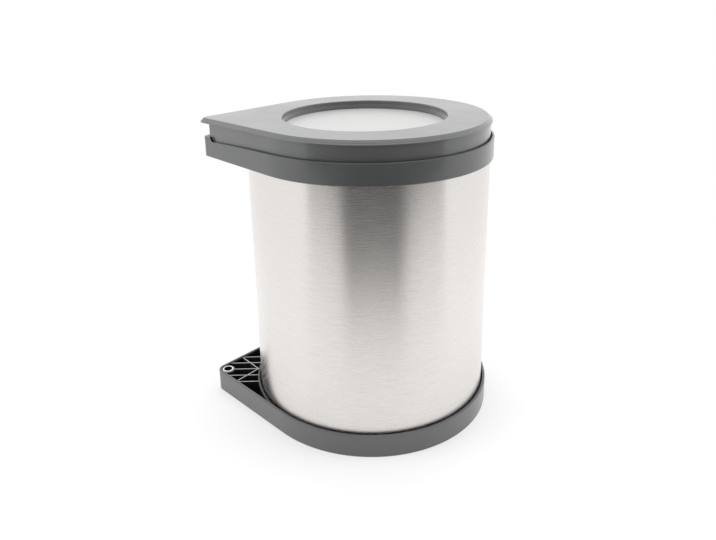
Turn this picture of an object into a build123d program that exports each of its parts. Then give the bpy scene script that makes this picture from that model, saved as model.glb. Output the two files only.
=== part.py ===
"""Swing-out kitchen waste bin: a brushed steel drum held between a plastic tray and a plastic collar.

Both plastic rings run out into a nose that carries the upright pivot axis. The lid is hinged on the
collar's nose, and a plastic bucket with a wire bail hangs inside the drum by its rim.
Millimetres, +Z up. The origin is on the drum's axis, in the plane the tray stands on, and the nose
points to -X.
"""

import os
from math import acos, cos, degrees, radians, sin

from build123d import *

os.makedirs("parts", exist_ok=True)

# Drum: one rolled steel sheet, open at both ends
shell_radius = 125.0
shell_sheet = 0.6
exposed_steel = 252.9  # height of bare steel between the tray's rim and the collar's lower edge

# Pivot: the upright axis that the whole bin swings about
pivot_reach = 164.5
bush_bore_radius = 4.6
bush_wall = 0.9
bush_flange_radius = 6.4
bush_flange = 1.2
upper_bore_radius = 2.0
upper_bush_wall = 0.6
upper_flange_radius = 3.6
upper_flange = 0.8

# Tray
tray_height = 23.9
tray_proud = 4.5  # the tray's outside stands out this far from the drum's
tray_tip = 10.0
tray_wall = 2.6
tray_floor = 2.6
tray_guide_height = 14.0  # inner ring that the drum is pushed over
tray_guide_wall = 2.0
tray_rib = 1.4
tray_rib_drop = 1.6  # the nose's ribs end this far under the rim
tray_rib_pitch = 13.0
tray_rib_rows = 5
tray_brace_angle = 130.7  # the two slanted ribs run this way from the drum's wall
tray_boss_wall = 2.3
tray_boss_drop = 2.0
tray_relief = 1.0  # shallow recess moulded in the underside
tray_relief_land = 24.0
tray_hub_radius = 16.0
tray_spoke = 6.0
tray_edge = 0.9

# Collar
collar_height = 21.2
collar_proud = 3.5  # the collar's outside stands out this far from the drum's
collar_tip = 5.1
collar_wall = 2.0
ledge_height = 12.0  # the drum reaches this far up into the collar
ledge = 2.2
bucket_opening_inset = 8.4  # from the drum's outside to the edge of the ledge
collar_guide_drop = 11.0
collar_guide_wall = 1.8
nose_floor = 2.0
rim_dip = 4.4  # the rim has come down by this much where it meets the nose post
rim_dip_start = 110.0  # the rim starts to come down about this far behind the pivot axis
rim_dip_rise = 0.3  # the cut's curve starts this far above the rim
post_back = 2.0  # the post's vertical back, behind the pivot axis
post_step = 2.5
collar_edge = 0.8

# Lid
skirt_height = 15.6  # height of skirt seen between the collar's rim and the lid's lower edge
lid_lip = 1.0
lid_bevel = 3.6
lid_edge_inset = 2.3  # this and the next three insets are measured from the collar's outside
lid_edge_tip = 8.0
lid_top_inset = 6.4
lid_top_tip = 4.5
lid_skin = 2.2
skirt_inset = 3.7
skirt_tip = 2.5
skirt_wall = 2.0
skirt_tail_gap = 0.6  # between the skirt's tail and the nose post
dish_offset = 3.5
dish_inset = 42.8
dish_step = 1.1  # the dish's wall steps in by this much halfway down
dish_draft = 1.0  # and by this much more down to its floor
dish_depth = 8.95
dish_step_depth = 4.4
dish_skin = 2.0
dish_edge = 0.8
lid_rib_count = 18
lid_rib = 1.5
lid_rib_depth = 9.2
lid_edge_round = 0.5

# Lid's steel disc and the adhesive ring under it
disc_sheet = 0.6
disc_clearance = 0.35
tape_thickness = 0.4
tape_width = 22.0
tape_inset = 3.0

# Lid hinge
hinge_set_back = 8.5  # the hinge axis lies this far behind the pivot axis
hinge_drop = 7.7  # the hinge axis lies this far under the lid's top
hinge_pin_radius = 1.5
hinge_knuckle_radius = 4.0
hinge_lug_width = 10.0
hinge_cheek = 3.2
hinge_side_gap = 0.4
running_clearance = 0.05

# Lid bumpers
bumper_height = 1.5
bumper_length = 12.0
bumper_width = 2.4
bumper_count = 5
bumper_spread = 240.0  # the angle from the first bumper to the last

# Bucket
bucket_side_gap = 1.2
bucket_wall = 1.6
bucket_taper = 11.0  # how much smaller the radius is at the bottom
bucket_bottom_gap = 6.0  # free height between the tray's floor and the bucket's underside
bucket_base_round = 9.0
bucket_rim_overhang = 4.0
bucket_rim = 2.0
ear_thickness = 3.0
ear_width = 11.0
ear_inset = 3.0

# Bail
bail_wire_radius = 1.75
bail_bend = 5.0
bail_lift = 5.6  # the bail's pivot axis above the bucket's rim
bail_inset = 5.0
bail_end_proud = 2.0
grip_radius = 4.5
grip_angle = 34.0

# Self-tapping screws that hold the drum to the tray and to the collar
screw_radius = 1.5
screw_head_radius = 3.0
screw_head = 1.6
screw_count = 4
screw_first_angle = 45.0
tray_screw_height = 11.0
collar_screw_drop = 6.0
head_seat_gap = 0.05
guide_gap = 0.4  # between the drum's inside and the rings that it is pushed over

# Levels and radii that follow from the sizes above
shell_inside = shell_radius - shell_sheet
guide_radius = shell_inside - guide_gap
tray_radius = shell_radius + tray_proud
tray_inside = tray_radius - tray_wall
collar_bottom = tray_height + exposed_steel
collar_top = collar_bottom + collar_height
ledge_bottom = collar_bottom + ledge_height
ledge_top = ledge_bottom + ledge
collar_radius = shell_radius + collar_proud
collar_inside = collar_radius - collar_wall
bucket_opening_radius = shell_radius - bucket_opening_inset
lid_lip_bottom = collar_top + skirt_height - lid_lip
lid_edge_level = lid_lip_bottom + lid_lip
lid_top = lid_edge_level + lid_bevel
lid_underside = lid_top - lid_skin
skirt_bottom = ledge_top + bumper_height
lid_edge_radius = collar_radius - lid_edge_inset
lid_top_radius = collar_radius - lid_top_inset
skirt_radius = collar_radius - skirt_inset
skirt_inside = skirt_radius - skirt_wall
dish_radius = collar_radius - dish_inset
dish_step_radius = dish_radius - dish_step
dish_floor_radius = dish_step_radius - dish_draft
hinge_reach = pivot_reach - hinge_set_back
hinge_level = lid_top - hinge_drop
disc_top = lid_top - dish_depth
dish_floor_top = disc_top - disc_sheet - tape_thickness
dish_bottom = dish_floor_top - dish_skin
boss_top = tray_height - tray_boss_drop
bush_barrel_radius = bush_bore_radius + bush_wall
boss_bore_radius = bush_barrel_radius + running_clearance
boss_radius = boss_bore_radius + tray_boss_wall
upper_barrel_radius = upper_bore_radius + upper_bush_wall
post_bore_radius = upper_barrel_radius + running_clearance
bucket_radius = bucket_opening_radius - bucket_side_gap
bucket_bottom = tray_floor + bucket_bottom_gap
bucket_rim_top = ledge_top + bucket_rim
bucket_rim_radius = bucket_radius + bucket_rim_overhang + bucket_side_gap
bail_level = bucket_rim_top + bail_lift
ear_outside = bucket_radius - ear_inset + ear_thickness
pivot_point = (-pivot_reach, 0)
dish_plane = Plane(origin=(-dish_offset, 0, 0), x_dir=(1, 0, 0), z_dir=(0, -1, 0))


def teardrop(radius, tip):
    """A round about the drum's axis and an arc about the pivot axis, joined by their tangents."""
    flank = degrees(acos((radius - tip) / pivot_reach))
    with BuildSketch() as outline:
        with BuildLine():
            belly = CenterArc((0, 0), radius, flank - 180, 360 - 2 * flank)
            nose = CenterArc(pivot_point, tip, 180 - flank, 2 * flank)
            Line(belly @ 1, nose @ 0)
            Line(nose @ 1, belly @ 0)
        make_face()
    return outline.sketch


def ring(outer, inner):
    """A plain ring about the drum's axis."""
    with BuildSketch() as outline:
        Circle(outer)
        Circle(inner, mode=Mode.SUBTRACT)
    return outline.sketch


def screw_angles():
    """The directions of the screws, evenly round the drum."""
    return [screw_first_angle + i * 360 / screw_count for i in range(screw_count)]


def radial_plane(angle, radius, level):
    """A plane square to a radius of the drum, facing outwards."""
    outward = Vector(cos(radians(angle)), sin(radians(angle)), 0)
    return Plane(origin=outward * radius + Vector(0, 0, level), z_dir=outward)


# Tray: an open ring with a nose, a floor, an inner guide ring and the lower pivot boss
with BuildPart() as base_tray:
    with BuildSketch():
        add(teardrop(tray_radius, tray_tip))
    extrude(amount=tray_height)
    outer_edges = base_tray.faces().filter_by(Axis.Z).edges()
    fillet(outer_edges, tray_edge)
    with BuildSketch(Plane.XY.offset(tray_floor)):
        add(teardrop(tray_inside, tray_tip - tray_wall))
    extrude(amount=tray_height, mode=Mode.SUBTRACT)
    # the drum's own round wall, which closes it off from the nose
    with BuildSketch(Plane.XY.offset(tray_floor)):
        add(ring(tray_radius - tray_edge / 2, tray_inside))
    extrude(amount=boss_top - tray_floor)
    # inner guide ring that the drum is pushed over
    with BuildSketch(Plane.XY.offset(tray_floor)):
        add(ring(guide_radius, guide_radius - tray_guide_wall))
    extrude(amount=tray_guide_height)
    # ribs of the nose: rows along the nose, and two braces square to its flanks
    rib_top = tray_height - tray_rib_drop
    nose_span = pivot_reach - tray_inside
    with BuildSketch(Plane.XY.offset(tray_floor)) as rib_sketch:
        with Locations((-tray_inside - nose_span / 2, 0)):
            with GridLocations(0, tray_rib_pitch, 1, tray_rib_rows):
                Rectangle(nose_span + tray_wall, tray_rib)
        for side in (1, -1):
            with Locations((-tray_radius, 0)):
                Rectangle(nose_span, tray_rib, side * tray_brace_angle, (Align.MIN, Align.CENTER))
        add(teardrop(tray_inside, tray_tip - tray_wall / 2), mode=Mode.INTERSECT)
        Circle(tray_radius - tray_wall / 2, mode=Mode.SUBTRACT)
        with Locations(pivot_point):
            Circle(boss_radius - tray_boss_wall / 2, mode=Mode.SUBTRACT)
    extrude(amount=rib_top - tray_floor)
    # pivot boss, bored right through for the bush and the pin below it
    with BuildSketch(Plane.XY.offset(tray_floor)):
        with Locations(pivot_point):
            Circle(boss_radius)
    extrude(amount=boss_top - tray_floor)
    with BuildSketch():
        with Locations(pivot_point):
            Circle(boss_bore_radius)
    extrude(amount=tray_height, mode=Mode.SUBTRACT)
    # shallow relief in the underside, with a hub and spokes left standing
    with BuildSketch():
        Circle(tray_radius - tray_relief_land)
        Circle(tray_hub_radius, mode=Mode.SUBTRACT)
        with PolarLocations(0, 3):
            Rectangle(2 * tray_radius, tray_spoke, mode=Mode.SUBTRACT)
    extrude(amount=tray_relief, mode=Mode.SUBTRACT)
    for angle in screw_angles():
        with BuildSketch(radial_plane(angle, guide_radius - 2 * tray_guide_wall, tray_screw_height)):
            Circle(screw_radius)
        extrude(amount=3 * tray_guide_wall, mode=Mode.SUBTRACT)
base_tray.part.label = "base_tray"
export_step(base_tray.part, "parts/base_tray.step")

# Lower pivot bush: a flanged white bush that turns in the tray's boss
with BuildPart() as lower_pivot_bush:
    with BuildSketch(Plane.XY.offset(tray_floor)):
        with Locations(pivot_point):
            Circle(bush_barrel_radius)
    extrude(amount=boss_top - tray_floor)
    with BuildSketch(Plane.XY.offset(boss_top)):
        with Locations(pivot_point):
            Circle(bush_flange_radius)
    extrude(amount=bush_flange)
    fillet(lower_pivot_bush.faces().sort_by(Axis.Z)[-1].edges(), bush_flange / 3)
    with BuildSketch(Plane.XY.offset(tray_floor)):
        with Locations(pivot_point):
            Circle(bush_bore_radius)
    extrude(amount=tray_height, mode=Mode.SUBTRACT)
lower_pivot_bush.part.label = "lower_pivot_bush"
export_step(lower_pivot_bush.part, "parts/lower_pivot_bush.step")

# Drum: rolled sheet, from the tray's floor up to the collar's ledge
with BuildPart() as steel_shell:
    with BuildSketch(Plane.XY.offset(tray_floor)):
        add(ring(shell_radius, shell_inside))
    extrude(amount=ledge_bottom - tray_floor)
    for level in (tray_screw_height, ledge_bottom - collar_screw_drop):
        for angle in screw_angles():
            with BuildSketch(radial_plane(angle, shell_inside - shell_sheet, level)):
                Circle(screw_radius)
            extrude(amount=3 * shell_sheet, mode=Mode.SUBTRACT)
steel_shell.part.label = "steel_shell"
export_step(steel_shell.part, "parts/steel_shell.step")

# Collar: outer wall with a nose, a ledge for the bucket, and a guide ring inside the drum
with BuildPart() as collar:
    with BuildSketch(Plane.XY.offset(collar_bottom)):
        add(teardrop(collar_radius, collar_tip))
    extrude(amount=collar_height)
    fillet(collar.faces().filter_by(Axis.Z).edges(), collar_edge)
    # the round hole for the drum, the nose's pocket, and the open nose above the ledge
    with BuildSketch(Plane.XY.offset(collar_bottom)):
        Circle(collar_inside)
    extrude(amount=collar_height, mode=Mode.SUBTRACT)
    with BuildSketch(Plane.XY.offset(collar_bottom + nose_floor)):
        add(teardrop(collar_inside, collar_tip - collar_wall))
        Circle(collar_radius - collar_edge, mode=Mode.SUBTRACT)
    extrude(amount=collar_height, mode=Mode.SUBTRACT)
    nose_root = collar_inside * (collar_inside - collar_tip + collar_wall) / pivot_reach
    with BuildSketch(Plane.XY.offset(ledge_top)):
        with Locations((-nose_root - collar_wall, 0)):
            Rectangle(pivot_reach, 2 * collar_radius, align=(Align.MAX, Align.CENTER))
        add(teardrop(collar_inside, collar_tip - collar_wall), mode=Mode.INTERSECT)
    extrude(amount=collar_height, mode=Mode.SUBTRACT)
    # the rim comes down in a long curve towards the nose, and rises to the post in a slanted step
    dip_start = (-pivot_reach + rim_dip_start, collar_top + rim_dip_rise)
    dip_end = (-pivot_reach + post_back + post_step, collar_top - rim_dip)
    with BuildSketch(Plane.XZ):
        with BuildLine():
            TangentArc(dip_start, dip_end, tangent=(-1, 0))
            Polyline(
                dip_end,
                (-pivot_reach + post_back, collar_top),
                (-pivot_reach + post_back, collar_top + rim_dip),
                (-pivot_reach + rim_dip_start, collar_top + rim_dip),
                dip_start,
            )
        make_face()
    extrude(amount=collar_radius, both=True, mode=Mode.SUBTRACT)
    # ledge, and the guide ring under it
    with BuildSketch(Plane.XY.offset(ledge_bottom)):
        add(ring(collar_inside + collar_wall / 2, bucket_opening_radius))
    extrude(amount=ledge)
    with BuildSketch(Plane.XY.offset(ledge_bottom - collar_guide_drop)):
        add(ring(guide_radius, guide_radius - collar_guide_wall))
    extrude(amount=collar_guide_drop)
    # nose post, bored for the upper bush
    with BuildSketch(Plane.XY.offset(collar_bottom + nose_floor)):
        add(teardrop(collar_inside, collar_tip - collar_wall / 2))
        with Locations((-pivot_reach + post_back, 0)):
            Rectangle(3 * collar_radius, 2 * collar_radius, align=(Align.MIN, Align.CENTER), mode=Mode.SUBTRACT)
    extrude(amount=collar_height - nose_floor - collar_edge)
    # hinge lug, standing on the nose's floor
    with BuildSketch(Plane.XZ):
        with Locations((-hinge_reach, hinge_level)):
            Circle(hinge_knuckle_radius)
        with Locations((-hinge_reach, collar_bottom + nose_floor / 2)):
            Rectangle(
                2 * hinge_knuckle_radius,
                hinge_level - collar_bottom - nose_floor / 2,
                align=(Align.CENTER, Align.MIN),
            )
    extrude(amount=hinge_lug_width / 2, both=True)
    with BuildSketch(Plane.XZ):
        with Locations((-hinge_reach, hinge_level)):
            Circle(hinge_pin_radius + running_clearance)
    extrude(amount=hinge_lug_width, both=True, mode=Mode.SUBTRACT)
    with BuildSketch(Plane.XY.offset(collar_bottom)):
        with Locations(pivot_point):
            Circle(post_bore_radius)
    extrude(amount=collar_height, mode=Mode.SUBTRACT)
    with BuildSketch(Plane.XY.offset(collar_top - collar_edge)):
        with Locations(pivot_point):
            Circle(upper_flange_radius + running_clearance)
    extrude(amount=collar_edge, mode=Mode.SUBTRACT)
    for angle in screw_angles():
        screw_plane = radial_plane(angle, guide_radius - 2 * collar_guide_wall, ledge_bottom - collar_screw_drop)
        with BuildSketch(screw_plane):
            Circle(screw_radius)
        extrude(amount=3 * collar_guide_wall, mode=Mode.SUBTRACT)
collar.part.label = "collar"
export_step(collar.part, "parts/collar.step")

# Upper pivot bush: a small flanged white bush in the collar's nose post
with BuildPart() as upper_pivot_bush:
    with BuildSketch(Plane.XY.offset(collar_bottom)):
        with Locations(pivot_point):
            Circle(upper_barrel_radius)
    extrude(amount=collar_height - collar_edge)
    with BuildSketch(Plane.XY.offset(collar_top - collar_edge)):
        with Locations(pivot_point):
            Circle(upper_flange_radius)
    extrude(amount=upper_flange)
    with BuildSketch(Plane.XY.offset(collar_bottom)):
        with Locations(pivot_point):
            Circle(upper_bore_radius)
    extrude(amount=2 * collar_height, mode=Mode.SUBTRACT)
upper_pivot_bush.part.label = "upper_pivot_bush"
export_step(upper_pivot_bush.part, "parts/upper_pivot_bush.step")

# Lid: a plate with a bevelled edge, a skirt under it and a round dish in its top
with BuildPart() as lid_cover:
    with BuildSketch(Plane.XY.offset(lid_lip_bottom)):
        add(teardrop(lid_edge_radius, lid_edge_tip))
    extrude(amount=lid_lip)
    with BuildSketch(Plane.XY.offset(lid_edge_level)):
        add(teardrop(lid_edge_radius, lid_edge_tip))
    with BuildSketch(Plane.XY.offset(lid_top)):
        add(teardrop(lid_top_radius, lid_top_tip))
    loft(ruled=True)
    fillet(lid_cover.faces().sort_by(Axis.Z)[-1].edges(), lid_edge_round)
    # hollow under the plate, then the skirt
    with BuildSketch(Plane.XY.offset(lid_lip_bottom)):
        add(teardrop(skirt_inside, skirt_tip / 2))
    extrude(amount=lid_underside - lid_lip_bottom, mode=Mode.SUBTRACT)
    with BuildSketch(Plane.XY.offset(skirt_bottom)):
        add(teardrop(skirt_radius, skirt_tip))
        add(teardrop(skirt_inside, skirt_tip / 2), mode=Mode.SUBTRACT)
    extrude(amount=lid_underside - skirt_bottom)
    # radial ribs from the dish into the skirt
    rib_reach = skirt_inside + skirt_wall / 2
    with BuildSketch(Plane.XY.offset(lid_underside - lid_rib_depth)):
        with PolarLocations(0, lid_rib_count, start_angle=180 / lid_rib_count):
            with Locations((dish_radius, 0)):
                Rectangle(rib_reach - dish_radius, lid_rib, align=(Align.MIN, Align.CENTER))
    extrude(amount=lid_rib_depth)
    # the dish's cup, with a small step half-way down its wall
    with BuildSketch(Plane.XY.offset(dish_bottom)):
        with Locations((-dish_offset, 0)):
            Circle(dish_radius + dish_skin)
    extrude(amount=lid_underside - dish_bottom)
    with BuildSketch(dish_plane):
        with BuildLine():
            Polyline(
                (0, lid_top + dish_edge),
                (0, dish_floor_top),
                (dish_floor_radius, dish_floor_top),
                (dish_floor_radius, lid_top - dish_step_depth - dish_edge / 2),
                (dish_step_radius, lid_top - dish_step_depth),
                (dish_radius - dish_edge, lid_top - dish_edge),
                (dish_radius + dish_edge, lid_top + dish_edge),
                close=True,
            )
        make_face()
    revolve(axis=Axis((-dish_offset, 0, 0), (0, 0, 1)), mode=Mode.SUBTRACT)
    # the skirt's tail is open for the lug, and its end slants to clear the nose post
    with BuildSketch(Plane.XY.offset(skirt_bottom)):
        with Locations((-hinge_reach, 0)):
            Rectangle(
                pivot_reach,
                hinge_lug_width + 2 * hinge_side_gap,
                align=(Align.MAX, Align.CENTER),
            )
    extrude(amount=lid_lip_bottom - skirt_bottom, mode=Mode.SUBTRACT)
    post_face = -pivot_reach + post_back + skirt_tail_gap
    with BuildSketch(Plane.XZ):
        with BuildLine():
            Polyline(
                (post_face - collar_radius, collar_top + skirt_tail_gap),
                (post_face, collar_top + skirt_tail_gap),
                (post_face + 2 * post_step, collar_top - 2 * rim_dip),
                (post_face - collar_radius, collar_top - 2 * rim_dip),
                close=True,
            )
        make_face()
    extrude(amount=collar_radius, both=True, mode=Mode.SUBTRACT)
    # hinge cheeks on both sides of the collar's lug, and the bore for the pin
    cheek_start = hinge_lug_width / 2 + hinge_side_gap
    for side in (1, -1):
        with BuildSketch(Plane.XZ.offset(side * (cheek_start + hinge_cheek / 2))):
            with Locations((-hinge_reach, hinge_level)):
                Circle(hinge_knuckle_radius)
            with Locations((-hinge_reach, hinge_level)):
                Rectangle(
                    2 * hinge_knuckle_radius,
                    lid_underside - hinge_level,
                    align=(Align.CENTER, Align.MIN),
                )
        extrude(amount=hinge_cheek / 2, both=True)
    with BuildSketch(Plane.XZ):
        with Locations((-hinge_reach, hinge_level)):
            Circle(hinge_pin_radius)
    extrude(amount=cheek_start + hinge_cheek, both=True, mode=Mode.SUBTRACT)
lid_cover.part.label = "lid_cover"
export_step(lid_cover.part, "parts/lid_cover.step")

# Adhesive ring under the lid's disc
with BuildPart() as disc_tape:
    with BuildSketch(Plane.XY.offset(dish_floor_top)):
        with Locations((-dish_offset, 0)):
            Circle(dish_floor_radius - tape_inset)
            Circle(dish_floor_radius - tape_inset - tape_width, mode=Mode.SUBTRACT)
    extrude(amount=tape_thickness)
disc_tape.part.label = "disc_tape"
export_step(disc_tape.part, "parts/disc_tape.step")

# Steel disc laid in the lid's dish
with BuildPart() as lid_disc:
    with BuildSketch(Plane.XY.offset(dish_floor_top + tape_thickness)):
        with Locations((-dish_offset, 0)):
            Circle(dish_floor_radius - disc_clearance)
    extrude(amount=disc_sheet)
lid_disc.part.label = "lid_disc"
export_step(lid_disc.part, "parts/lid_disc.step")

# Lid hinge pin: pressed into the lid's cheeks, and turns in the collar's lug
with BuildPart() as lid_hinge_pin:
    with BuildSketch(Plane.XZ):
        with Locations((-hinge_reach, hinge_level)):
            Circle(hinge_pin_radius)
    extrude(amount=cheek_start + hinge_cheek, both=True)
lid_hinge_pin.part.label = "lid_hinge_pin"
export_step(lid_hinge_pin.part, "parts/lid_hinge_pin.step")

# Soft bumpers on the ledge, which the lid's skirt comes down on
with BuildPart() as lid_bumpers:
    with BuildSketch(Plane.XY.offset(ledge_top)):
        with PolarLocations(
            skirt_radius - skirt_wall / 2, bumper_count, -bumper_spread / 2, bumper_spread, endpoint=True
        ):
            Rectangle(bumper_width, bumper_length)
    extrude(amount=bumper_height)
lid_bumpers.part.label = "lid_bumpers"
export_step(lid_bumpers.part, "parts/lid_bumpers.step")

# Bucket: a tapered plastic pail that hangs on the collar's ledge by its rim
with BuildPart() as inner_bucket:
    base_radius = bucket_radius - bucket_taper
    with BuildSketch(Plane.XZ):
        with BuildLine():
            Polyline(
                (0, bucket_bottom),
                (base_radius, bucket_bottom),
                (bucket_radius, ledge_top),
                (bucket_rim_radius, ledge_top),
                (bucket_rim_radius, bucket_rim_top),
                (bucket_radius - bucket_wall, bucket_rim_top),
                (base_radius - bucket_wall, bucket_bottom + bucket_wall),
                (0, bucket_bottom + bucket_wall),
                close=True,
            )
        make_face()
    revolve(axis=Axis.Z)
    fillet(inner_bucket.edges().filter_by(GeomType.CIRCLE).sort_by(Axis.Z)[0], bucket_base_round)
    inside_edge = inner_bucket.edges().filter_by(GeomType.CIRCLE).sort_by(Axis.Z)[1]
    fillet(inside_edge, bucket_base_round - bucket_wall)
    # ears for the bail, standing on the rim
    for side in (1, -1):
        with BuildSketch(Plane.XZ.offset(side * (ear_outside - ear_thickness / 2))):
            with Locations((0, bail_level)):
                Circle(ear_width / 2)
            with Locations((0, bucket_rim_top)):
                Rectangle(ear_width, bail_lift, align=(Align.CENTER, Align.MIN))
        extrude(amount=ear_thickness / 2, both=True)
    with BuildSketch(Plane.XZ):
        with Locations((0, bail_level)):
            Circle(bail_wire_radius + running_clearance)
    extrude(amount=ear_outside + bail_end_proud, both=True, mode=Mode.SUBTRACT)
inner_bucket.part.label = "inner_bucket"
export_step(inner_bucket.part, "parts/inner_bucket.step")

# Bail: one bent wire, its ends turned out through the ears
bail_arc_radius = ear_outside - ear_thickness - bail_inset - bail_bend
bail_end = ear_outside + bail_end_proud
with BuildPart() as bail_wire:
    with BuildLine(Plane.XY.offset(bail_level)) as bail_path:
        first_end = Line((0, -bail_end), (0, -bail_arc_radius - bail_bend))
        first_bend = CenterArc((bail_bend, -bail_arc_radius - bail_bend), bail_bend, 180, -90)
        bow = CenterArc((bail_bend, 0), bail_arc_radius, -90, 180)
        last_bend = CenterArc((bail_bend, bail_arc_radius + bail_bend), bail_bend, -90, -90)
        last_end = Line((0, bail_arc_radius + bail_bend), (0, bail_end))
    with BuildSketch(Plane(origin=bail_path.line @ 0, z_dir=bail_path.line % 0)):
        Circle(bail_wire_radius)
    sweep(path=bail_path.line)
bail_wire.part.label = "bail_wire"
export_step(bail_wire.part, "parts/bail_wire.step")

# Grip moulded round the middle of the bail
with BuildPart() as bail_grip:
    with BuildLine(Plane.XY.offset(bail_level)) as grip_path:
        CenterArc((bail_bend, 0), bail_arc_radius, -grip_angle / 2, grip_angle)
    with BuildSketch(Plane(origin=grip_path.line @ 0, z_dir=grip_path.line % 0)):
        Circle(grip_radius)
        Circle(bail_wire_radius, mode=Mode.SUBTRACT)
    sweep(path=grip_path.line)
bail_grip.part.label = "bail_grip"
export_step(bail_grip.part, "parts/bail_grip.step")


def screw_ring(seat_radius, level, length):
    """Pan-head screws driven outwards from inside the drum, their heads on a ring of seat_radius."""
    with BuildPart() as screws:
        for angle in screw_angles():
            with BuildSketch(radial_plane(angle, seat_radius - head_seat_gap - screw_head, level)):
                Circle(screw_head_radius)
            extrude(amount=screw_head)
            with BuildSketch(radial_plane(angle, seat_radius - head_seat_gap, level)):
                Circle(screw_radius)
            extrude(amount=length + head_seat_gap)
    return screws.part


# Screws through the guide rings and the drum, one ring at each end of the drum
tray_seat_radius = guide_radius - tray_guide_wall
tray_screws = screw_ring(tray_seat_radius, tray_screw_height, shell_radius + guide_gap - tray_seat_radius)
tray_screws.label = "tray_screws"
export_step(tray_screws, "parts/tray_screws.step")

collar_seat_radius = guide_radius - collar_guide_wall
collar_screw_level = ledge_bottom - collar_screw_drop
collar_screws = screw_ring(
    collar_seat_radius, collar_screw_level, shell_radius + guide_gap - collar_seat_radius
)
collar_screws.label = "collar_screws"
export_step(collar_screws, "parts/collar_screws.step")
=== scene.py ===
from math import cos, radians, sin

import bpy
import numpy as np
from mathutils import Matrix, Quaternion, Vector

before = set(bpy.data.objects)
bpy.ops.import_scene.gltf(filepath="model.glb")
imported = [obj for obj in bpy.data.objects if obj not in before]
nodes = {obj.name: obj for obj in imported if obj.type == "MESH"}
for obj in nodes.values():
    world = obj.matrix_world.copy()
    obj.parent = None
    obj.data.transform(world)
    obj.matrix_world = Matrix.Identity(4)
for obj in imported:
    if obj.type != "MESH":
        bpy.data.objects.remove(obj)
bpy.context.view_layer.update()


# Tray: the bin stands on this ring of dark grey polypropylene, whose nose carries the lower pivot.
# It is moulded in one shot with a fine spark-eroded grain. The ribbed pocket in its nose is painted
# black as shade, and the ribs' top edges carry a painted pale highlight.
MM = 0.001
TRAY_GREY = (0.105, 0.106, 0.109)
POCKET_PAINTED_SHADE = (0.015, 0.015, 0.016)
RIB_PAINTED_HIGHLIGHT = (0.34, 0.34, 0.345)
TRAY_RADIUS = 129.5 * MM
TRAY_WALL = 2.6 * MM
TRAY_FLANK = radians(136.6)  # the way that each flank of the nose faces, counted from +X
POCKET_REACH = TRAY_RADIUS - 0.6 * TRAY_WALL  # each flank is a plane at the tray's radius
POCKET_START = -90 * MM
POCKET_FLOOR = 1.5 * MM
RIB_TOP = 22.3 * MM
RIB_EDGE = 0.1 * MM
CLOUD_GRAINS = 60  # the slow changes of gloss are this many grains wide
RUB_GRAINS = 90
RUB_TURN = (0.3, 0.4, 0.5)
RUB_SQUEEZE = (1.0, 22.0, 22.0)


def put(tree, kind, *sources, **settings):
    """Adds a shader node. Settings are its properties, and sources fill its inputs in order.

    A source is a value, a socket to link, or None for an input that keeps its own value.
    """
    node = tree.nodes.new("ShaderNode" + kind)
    for key, value in settings.items():
        setattr(node, key, value)
    for socket, source in zip(node.inputs, sources):
        if isinstance(source, bpy.types.NodeSocket):
            tree.links.new(source, socket)
        elif source is not None:
            socket.default_value = source
    return node


def maths(tree, operation, *sources):
    """One Math node, and its value."""
    return put(tree, "Math", *sources, operation=operation).outputs["Value"]


def vector_maths(tree, operation, *sources):
    """One Vector Math node, and its vector, or its value if it measures a length."""
    node = put(tree, "VectorMath", *sources, operation=operation)
    return node.outputs["Value" if operation == "LENGTH" else "Vector"]


def where_all(tree, *masks):
    """One where every mask is one, and otherwise nought."""
    shared = masks[0]
    for mask in masks[1:]:
        shared = maths(tree, "MULTIPLY", shared, mask)
    return shared


def spread(tree, source, low, high, start=0.0, end=1.0):
    """Carries source, from start to end, over to low to high."""
    return put(tree, "MapRange", source, start, end, low, high).outputs["Result"]


def noise(tree, place, size, detail, roughness):
    """Noise with swells of about the given size, from nought to one."""
    return put(tree, "TexNoise", place, None, 1 / size, detail, roughness).outputs["Fac"]


def two_tone(tree, share, first, second):
    """Runs from first to second as share goes from nought to one. Each is a colour or a socket."""
    mix = put(tree, "Mix", share, data_type="RGBA")
    for name, tone in (("A", first), ("B", second)):
        if isinstance(tone, bpy.types.NodeSocket):
            tree.links.new(tone, mix.inputs[name])
        else:
            mix.inputs[name].default_value = (*tone, 1)
    return mix.outputs["Result"]


def start_finish(name):
    """A material with only its Principled shader, which is returned with the tree and the place."""
    material = bpy.data.materials.new(name)
    material.use_nodes = True
    tree = material.node_tree
    place = put(tree, "TexCoord").outputs["Object"]
    return material, tree, tree.nodes["Principled BSDF"], place


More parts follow.
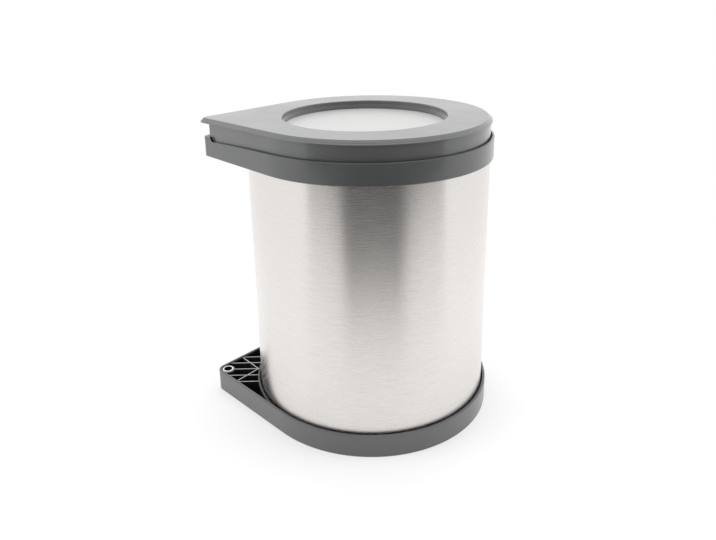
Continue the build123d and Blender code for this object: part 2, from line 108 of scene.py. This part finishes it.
def moulded(name, colour, gloss, grain_size, grain_depth, coat=0.0):
    """Moulded plastic or rubber: a grain in the surface, slow changes of gloss, and faint rub marks.

    The grain is noise at grain_size. Roughness runs from gloss to half as much again over much larger
    noise, and long thin rub marks, noise drawn out along X, lighten the colour a little.
    """
    material, tree, shader, place = start_finish(name)
    grain = noise(tree, place, grain_size, 3.0, 0.6)
    cloud = noise(tree, place, CLOUD_GRAINS * grain_size, 2.0, 0.5)
    drawn = put(tree, "Mapping", place, None, RUB_TURN, RUB_SQUEEZE).outputs["Vector"]
    rubs = noise(tree, drawn, RUB_GRAINS * grain_size, 4.0, 0.7)
    cloud_tint = spread(tree, cloud, -0.5, 0.5, 0.35, 0.65)
    rub_tint = spread(tree, rubs, 0.0, 0.6, 0.62, 0.8)
    share = spread(tree, maths(tree, "ADD", cloud_tint, rub_tint), 0.0, 1.0, -0.6, 1.2)
    shade = two_tone(tree, share, [0.94 * c for c in colour], [1.10 * c for c in colour])
    tree.links.new(shade, shader.inputs["Base Color"])
    tree.links.new(spread(tree, cloud, gloss, 1.5 * gloss, 0.3, 0.7), shader.inputs["Roughness"])
    bump = put(tree, "Bump", 0.35, grain_depth, None, grain)
    tree.links.new(bump.outputs["Normal"], shader.inputs["Normal"])
    shader.inputs["Coat Weight"].default_value = coat
    shader.inputs["Coat Roughness"].default_value = 0.6 * gloss
    return material, tree, shader, place, shade


def finish_node(name, material):
    """Gives a carried-over piece its one finish."""
    slots = nodes[name].data.materials
    slots.clear()
    slots.append(material)


tray_finish, tray_tree, tray_shader, tray_place, tray_shade = moulded(
    "tray_plastic", TRAY_GREY, gloss=0.30, grain_size=0.9 * MM, grain_depth=0.05 * MM, coat=0.5
)
tray_part = put(tray_tree, "SeparateXYZ", tray_place).outputs
# how far a point lies out towards the flank on its own side
flank_way = maths(
    tray_tree, "ADD",
    maths(tray_tree, "MULTIPLY", tray_part["X"], cos(TRAY_FLANK)),
    maths(tray_tree, "MULTIPLY", maths(tray_tree, "ABSOLUTE", tray_part["Y"]), sin(TRAY_FLANK)),
)
in_pocket = where_all(
    tray_tree,
    maths(tray_tree, "LESS_THAN", flank_way, POCKET_REACH),
    maths(tray_tree, "LESS_THAN", tray_part["X"], POCKET_START),
)
# painted shade: the pocket's walls and floor between the ribs are coloured black
shade_mask_in_pocket = where_all(
    tray_tree, in_pocket,
    maths(tray_tree, "LESS_THAN", tray_part["Z"], RIB_TOP - RIB_EDGE),
    maths(tray_tree, "GREATER_THAN", tray_part["Z"], POCKET_FLOOR),
)
# painted highlight: a thin band at the ribs' top edges is coloured pale
rib_highlight_mask = where_all(tray_tree, in_pocket, maths(tray_tree, "COMPARE", tray_part["Z"], RIB_TOP, RIB_EDGE))
tray_and_painted_shade = two_tone(tray_tree, shade_mask_in_pocket, tray_shade, POCKET_PAINTED_SHADE)
tray_and_painted_highlight = two_tone(tray_tree, rib_highlight_mask, tray_and_painted_shade, RIB_PAINTED_HIGHLIGHT)
tray_tree.links.new(tray_and_painted_highlight, tray_shader.inputs["Base Color"])
finish_node("base_tray", tray_finish)


# Lower pivot bush: a turned white acetal bush, pressed into the tray's boss.
# It is smooth and slightly waxy, and its bore is painted black as shade.
ACETAL = (0.80, 0.80, 0.78)
ACETAL_SURFACE = {"gloss": 0.32, "grain_size": 0.5 * MM, "grain_depth": 0.01 * MM}
BORE_PAINTED_SHADE = (0.012, 0.012, 0.012)
PIVOT_PLACE = (-164.5 * MM, 0.0, 0.0)
PIVOT_BORE = 4.6 * MM
BORE_SHADE_REACH = PIVOT_BORE + 0.1 * MM
bush_finish, bush_tree, bush_shader, bush_place, bush_shade = moulded(
    "acetal_with_painted_bore_shade", ACETAL, **ACETAL_SURFACE
)
pivot_way = vector_maths(bush_tree, "SUBTRACT", bush_place, PIVOT_PLACE)
pivot_way = vector_maths(bush_tree, "LENGTH", vector_maths(bush_tree, "MULTIPLY", pivot_way, (1, 1, 0)))
# painted shade: inside the bore the bush is coloured black
in_bore = maths(bush_tree, "LESS_THAN", pivot_way, BORE_SHADE_REACH)
bush_tree.links.new(two_tone(bush_tree, in_bore, bush_shade, BORE_PAINTED_SHADE), bush_shader.inputs["Base Color"])
finish_node("lower_pivot_bush", bush_finish)


# Drum: one sheet of ferritic stainless steel, belt-brushed along its length, rolled round and
# butt-welded at the back. The brush lines run round the drum, so highlights stretch upright.
STEEL = (0.805, 0.772, 0.748)
STEEL_SCRATCH = (0.745, 0.712, 0.688)
WELD_GREY = (0.42, 0.40, 0.38)
DRUM_RADIUS = 125 * MM
WELD_WIDTH = 1.4 * MM
COARSE_LINES = 4.0  # the coarse brush lines are this many times as thick as the fine ones


def brushed(tree, shader, along, across, height, length, colour, scratch, gloss, depth):
    """Brushed metal: noise drawn out along the brushing, at two heights of line.

    The fine lines are height thick, the coarse ones several times that, and both are length long.
    Where they are strong the metal is darker and rougher, and the bump follows the fine ones.
    """
    fine, coarse = (
        noise(
            tree,
            put(
                tree, "CombineXYZ",
                maths(tree, "DIVIDE", along, length), maths(tree, "DIVIDE", across, thickness),
            ).outputs["Vector"],
            1.0, 3.0, 0.6,
        )
        for thickness in (height, COARSE_LINES * height)
    )
    lines = maths(tree, "MULTIPLY_ADD", coarse, 0.35, maths(tree, "MULTIPLY", fine, 0.65))
    shade = two_tone(tree, spread(tree, lines, 0.0, 1.0, 0.40, 0.70), colour, scratch)
    tree.links.new(shade, shader.inputs["Base Color"])
    tree.links.new(spread(tree, lines, gloss, 1.2 * gloss, 0.38, 0.62), shader.inputs["Roughness"])
    bump = put(tree, "Bump", 0.2, depth, None, fine)
    tree.links.new(bump.outputs["Normal"], shader.inputs["Normal"])
    shader.inputs["Metallic"].default_value = 1.0
    return shade


drum_finish, drum_tree, drum_shader, drum_place = start_finish("brushed_steel")
drum_part = put(drum_tree, "SeparateXYZ", drum_place).outputs
# the angle is nought at the front and turns over at the back, where the weld is
drum_angle = maths(drum_tree, "ARCTAN2", drum_part["X"], maths(drum_tree, "MULTIPLY", drum_part["Y"], -1.0))
drum_shade = brushed(
    drum_tree, drum_shader, maths(drum_tree, "MULTIPLY", drum_angle, DRUM_RADIUS), drum_part["Z"],
    height=0.25 * MM, length=24 * MM, colour=STEEL, scratch=STEEL_SCRATCH, gloss=0.24, depth=0.002 * MM,
)
on_weld = where_all(
    drum_tree,
    maths(drum_tree, "LESS_THAN", maths(drum_tree, "ABSOLUTE", drum_part["X"]), WELD_WIDTH / 2),
    maths(drum_tree, "GREATER_THAN", drum_part["Y"], 0.0),
)
drum_tree.links.new(two_tone(drum_tree, on_weld, drum_shade, WELD_GREY), drum_shader.inputs["Base Color"])
drum_shader.inputs["Anisotropic"].default_value = 0.85
drum_shader.inputs["Anisotropic Rotation"].default_value = 0.25
drum_round = put(drum_tree, "Tangent", direction_type="RADIAL", axis="Z")
drum_tree.links.new(drum_round.outputs["Tangent"], drum_shader.inputs["Tangent"])
finish_node("steel_shell", drum_finish)


# Collar: the matching ring at the drum's top, in the same polypropylene as the tray.
# Its tool was polished finer than the tray's, so it shows sharper reflections.
COLLAR_GREY = (0.075, 0.077, 0.078)
collar_finish = moulded(
    "collar_plastic", COLLAR_GREY, gloss=0.26, grain_size=0.7 * MM, grain_depth=0.03 * MM, coat=0.7
)[0]
finish_node("collar", collar_finish)


# Upper pivot bush: the same white acetal as the lower one, pressed into the post at the collar's tip.
# It takes the upper pin of the cabinet's bracket, and its bore has no painted shade.
finish_node("upper_pivot_bush", moulded("white_acetal", ACETAL, **ACETAL_SURFACE)[0])


# Tray and collar screws: bright zinc-plated self-tapping screws with pan heads.
# Four at each end of the drum hold the sheet to the guide rings from inside.
ZINC = (0.62, 0.63, 0.66)
ZINC_STAIN = (0.48, 0.49, 0.50)
PITS_ACROSS = 9  # the pits are this many times smaller than the stains
PIT_DEPTH = 0.02 * MM


def plated(name, gloss, stain_size):
    """Zinc plating: patches of slightly duller metal at stain_size over fine pitting."""
    material, tree, shader, place = start_finish(name)
    stains = noise(tree, place, stain_size, 3.0, 0.65)
    pits = noise(tree, place, stain_size / PITS_ACROSS, 2.0, 0.5)
    shade = two_tone(tree, spread(tree, stains, 0.0, 1.0, 0.4, 0.7), ZINC, ZINC_STAIN)
    tree.links.new(shade, shader.inputs["Base Color"])
    tree.links.new(spread(tree, stains, gloss, 1.6 * gloss, 0.35, 0.7), shader.inputs["Roughness"])
    tree.links.new(put(tree, "Bump", 0.3, PIT_DEPTH, None, pits).outputs["Normal"], shader.inputs["Normal"])
    shader.inputs["Metallic"].default_value = 1.0
    return material


screw_finish = plated("zinc_plate", gloss=0.24, stain_size=3 * MM)
finish_node("tray_screws", screw_finish)
finish_node("collar_screws", screw_finish)


# Bucket: the lift-out pail, injection-moulded in matt dark polypropylene.
# It hangs by its rim on the collar's ledge, and its walls carry light scuffs from emptying.
BUCKET_GREY = (0.030, 0.030, 0.032)
bucket_finish = moulded(
    "bucket_plastic", BUCKET_GREY, gloss=0.42, grain_size=1.2 * MM, grain_depth=0.07 * MM
)[0]
finish_node("inner_bucket", bucket_finish)


# Bail: drawn zinc-plated wire, bent cold and sprung into the bucket's ears.
# The grip is a sleeve of soft matt plastic moulded round its middle.
GRIP_BLACK = (0.022, 0.022, 0.024)
finish_node("bail_wire", plated("zinc_wire", gloss=0.20, stain_size=6 * MM))
grip_finish = moulded("grip_plastic", GRIP_BLACK, gloss=0.5, grain_size=0.6 * MM, grain_depth=0.06 * MM)[0]
finish_node("bail_grip", grip_finish)


# Bumpers: five blocks of soft black rubber, stuck on the collar's ledge.
# The lid's skirt comes down on them without a knock.
RUBBER = (0.018, 0.018, 0.018)
rubber_finish = moulded("soft_rubber", RUBBER, gloss=0.6, grain_size=0.5 * MM, grain_depth=0.05 * MM)[0]
finish_node("lid_bumpers", rubber_finish)


# Lid: one moulding with a flat top, a bevelled edge, a skirt, and ribs round a dish.
# Its top is finely grained and pale with gloss, and it turns on a plain steel pin.
LID_GREY = (0.098, 0.100, 0.101)
lid_finish = moulded(
    "lid_plastic", LID_GREY, gloss=0.24, grain_size=0.8 * MM, grain_depth=0.03 * MM, coat=0.8
)[0]
finish_node("lid_cover", lid_finish)
finish_node("lid_hinge_pin", screw_finish)


# Disc and tape: a disc of fine satin steel lies in the lid's dish, held by a ring of white foam tape.
# It is brushed straight across, much finer than the drum, and has one small pressed mark. A thin
# clear lacquer on it scatters some of the light before the metal takes it.
DISC_STEEL = (0.575, 0.575, 0.570)
DISC_SCRATCH = (0.530, 0.530, 0.525)
DISC_METAL_SHARE = 0.45
MARK_GREY = (0.12, 0.12, 0.12)
MARK_PLACE = (-26.5 * MM, 23.6 * MM)
MARK_LENGTH = 4.0 * MM
MARK_WIDTH = 0.9 * MM
TAPE_WHITE = (0.75, 0.75, 0.70)
tape_finish = moulded("foam_tape", TAPE_WHITE, gloss=0.7, grain_size=0.4 * MM, grain_depth=0.08 * MM)[0]
finish_node("disc_tape", tape_finish)
disc_finish, disc_tree, disc_shader, disc_place = start_finish("satin_steel")
disc_part = put(disc_tree, "SeparateXYZ", disc_place).outputs
disc_shade = brushed(
    disc_tree, disc_shader, disc_part["X"], disc_part["Y"],
    height=0.20 * MM, length=30 * MM, colour=DISC_STEEL, scratch=DISC_SCRATCH, gloss=0.34, depth=0.001 * MM,
)
mark_x = maths(disc_tree, "ABSOLUTE", maths(disc_tree, "SUBTRACT", disc_part["X"], MARK_PLACE[0]))
mark_y = maths(disc_tree, "ABSOLUTE", maths(disc_tree, "SUBTRACT", disc_part["Y"], MARK_PLACE[1]))
on_mark = where_all(
    disc_tree,
    maths(disc_tree, "LESS_THAN", mark_x, MARK_LENGTH / 2),
    maths(disc_tree, "LESS_THAN", mark_y, MARK_WIDTH / 2),
)
disc_tree.links.new(two_tone(disc_tree, on_mark, disc_shade, MARK_GREY), disc_shader.inputs["Base Color"])
disc_shader.inputs["Metallic"].default_value = DISC_METAL_SHARE
finish_node("lid_disc", disc_finish)


# Floor: a pale painted board that the bin stands on, under a white surround.
# It glows a little for the lens and for reflections, and fully further out, so it ends in white.
FLOOR_REACH = 6.0
FLOOR_PAINT = (0.86, 0.86, 0.86, 1)
FLOOR_SWELL = 25 * MM
FLOOR_BUMP = 0.1 * MM
FLOOR_NEAR, FLOOR_FAR = 0.25, 0.8  # distances from the drum's axis
GLOW_NEAR, GLOW_FAR = 0.5, 1.0  # the glow's share at each


def grid_mesh(name, points, material):
    """A mesh on a grid of points, shaped (rows, columns, 3), with one quad between each four."""
    rows, columns, _ = points.shape
    index = np.arange(rows * columns).reshape(rows, columns)
    corners = [index[:-1, :-1], index[:-1, 1:], index[1:, 1:], index[1:, :-1]]
    mesh = bpy.data.meshes.new(name)
    mesh.from_pydata(points.reshape(-1, 3), [], np.stack(corners, axis=-1).reshape(-1, 4))
    mesh.materials.append(material)
    piece = bpy.data.objects.new(name, mesh)
    bpy.context.scene.collection.objects.link(piece)
    return piece


def seen_ray(tree):
    """Is the ray from the lens, from a reflection or through glass? One for yes."""
    path = put(tree, "LightPath").outputs
    either = maths(tree, "MAXIMUM", path["Is Camera Ray"], path["Is Glossy Ray"])
    return maths(tree, "MAXIMUM", either, path["Is Transmission Ray"])


floor_finish = bpy.data.materials.new("studio_floor")
floor_finish.use_nodes = True
floor_tree = floor_finish.node_tree
floor_tree.nodes.clear()
floor_place = put(floor_tree, "TexCoord").outputs["Object"]
floor_paint = put(floor_tree, "BsdfDiffuse", FLOOR_PAINT, 0.0)
floor_swells = noise(floor_tree, floor_place, FLOOR_SWELL, 3.0, 0.5)
floor_bump = put(floor_tree, "Bump", 0.1, FLOOR_BUMP, None, floor_swells)
floor_tree.links.new(floor_bump.outputs["Normal"], floor_paint.inputs["Normal"])
floor_glow = put(floor_tree, "Emission", (1, 1, 1, 1), 1.0)
floor_way = vector_maths(floor_tree, "LENGTH", floor_place)
floor_share = spread(floor_tree, floor_way, GLOW_NEAR, GLOW_FAR, FLOOR_NEAR, FLOOR_FAR)
glow_share = maths(floor_tree, "MULTIPLY", seen_ray(floor_tree), floor_share)
floor_mix = put(floor_tree, "MixShader", glow_share, floor_paint.outputs[0], floor_glow.outputs[0])
put(floor_tree, "OutputMaterial", floor_mix.outputs[0])
floor_line = np.linspace(-FLOOR_REACH, FLOOR_REACH, 3)
floor_points = np.stack(np.broadcast_arrays(floor_line[None, :], floor_line[:, None], 0.0), axis=-1)
grid_mesh("studio_floor", floor_points, floor_finish)


# Dark cloth: black felt laid on the floor in front, seen only in reflections, for the drum's dark band.
# It starts a little way in front of the drum, widens with distance, and rises behind the lens.
CLOTH_BLACK = (0.02, 0.019, 0.018, 1)
CLOTH_RISE = 1 * MM
CLOTH_TOP = 1100 * MM
CLOTH_COLUMNS = 25
CLOTH_REACH = np.array([0.38, 0.48, 0.70, 0.95, 1.20, 1.80, 1.80])
CLOTH_LEFT = np.radians([-22, -28, -32, -42, -60, -60, -60])
CLOTH_RIGHT = np.radians([27, 33, 39, 52, 71, 71, 71])
cloth_finish = bpy.data.materials.new("dark_cloth")
cloth_finish.use_nodes = True
cloth_shader = cloth_finish.node_tree.nodes["Principled BSDF"]
cloth_shader.inputs["Base Color"].default_value = CLOTH_BLACK
cloth_shader.inputs["Roughness"].default_value = 0.9


def cloth_points(reach, rise, left, right):
    """Points of a fan on the floor: row k lies reach[k] from the drum's front, from left[k] to right[k].

    At share s across, the turn is a = left + s (right - left), and the point is
    (reach sin a, -drum radius - reach cos a, rise).
    """
    turn = left[:, None] + np.linspace(0, 1, CLOTH_COLUMNS) * (right - left)[:, None]
    x, y = reach[:, None] * np.sin(turn), -DRUM_RADIUS - reach[:, None] * np.cos(turn)
    return np.stack(np.broadcast_arrays(x, y, rise[:, None]), axis=-1)


cloth_rise = np.full(len(CLOTH_REACH), CLOTH_RISE)
cloth_rise[-1] = CLOTH_TOP
cloth = grid_mesh("dark_cloth", cloth_points(CLOTH_REACH, cloth_rise, CLOTH_LEFT, CLOTH_RIGHT), cloth_finish)
cloth.visible_camera = False
cloth.visible_diffuse = False
cloth.visible_shadow = False


# Surround and lamps: a white surround, dimmed where it only lights the bin, and three soft boxes.
# The boxes hang above and stand at both sides, and are kept out of the reflections.
SURROUND_LEVEL = 0.40
LAMP_AIM = (0.0, 0.0, 0.16)
LAMPS = {  # place, side and watts
    "top_lamp": ((0.0, 0.25, 1.6), 1.5, 26),
    "left_lamp": ((-1.5, -0.35, 0.75), 1.1, 13),
    "right_lamp": ((1.5, -0.1, 0.75), 1.1, 14),
}
world = bpy.data.worlds.new("studio_world")
bpy.context.scene.world = world
world.use_nodes = True
world_tree = world.node_tree
world_glow = world_tree.nodes["Background"]
world_glow.inputs["Color"].default_value = (1, 1, 1, 1)
world_level = spread(world_tree, seen_ray(world_tree), SURROUND_LEVEL, 1.0)
world_tree.links.new(world_level, world_glow.inputs["Strength"])


def soft_box(name, place, side, watts):
    """A square soft box of the given side at place, turned to face the bin's middle."""
    light = bpy.data.lights.new(name, "AREA")
    light.size = side
    light.energy = watts
    lamp = bpy.data.objects.new(name, light)
    bpy.context.scene.collection.objects.link(lamp)
    lamp.location = place
    lamp.rotation_mode = "QUATERNION"
    lamp.rotation_quaternion = (Vector(LAMP_AIM) - Vector(place)).to_track_quat("-Z", "Y")
    lamp.visible_glossy = False


for lamp_name, (lamp_place, lamp_side, lamp_watts) in LAMPS.items():
    soft_box(lamp_name, lamp_place, lamp_side, lamp_watts)


# Camera: it stands in front, a little left and above, where the photograph was taken.
# The lens and the shift of the picture are those of the fitted view.
CAMERA_PLACE = (-0.02295, -0.68840, 0.44524)
CAMERA_AIM = (0.002391, 0.956566, -0.291505)
CAMERA_ROLL = radians(-1.10)
CAMERA_LENS = 33.99
CAMERA_SENSOR = 36
CAMERA_SHIFT = (0.0129, -0.1113)
camera = bpy.data.objects.new("camera", bpy.data.cameras.new("camera"))
bpy.context.scene.collection.objects.link(camera)
camera.location = CAMERA_PLACE
camera.rotation_mode = "QUATERNION"
camera.rotation_quaternion = Vector(CAMERA_AIM).to_track_quat("-Z", "Y") @ Quaternion((0, 0, 1), CAMERA_ROLL)
camera.data.sensor_width = CAMERA_SENSOR
camera.data.lens = CAMERA_LENS
camera.data.shift_x, camera.data.shift_y = CAMERA_SHIFT
camera.data.clip_start = 0.01
bpy.context.scene.camera = camera
bpy.context.scene.view_settings.view_transform = "Standard"
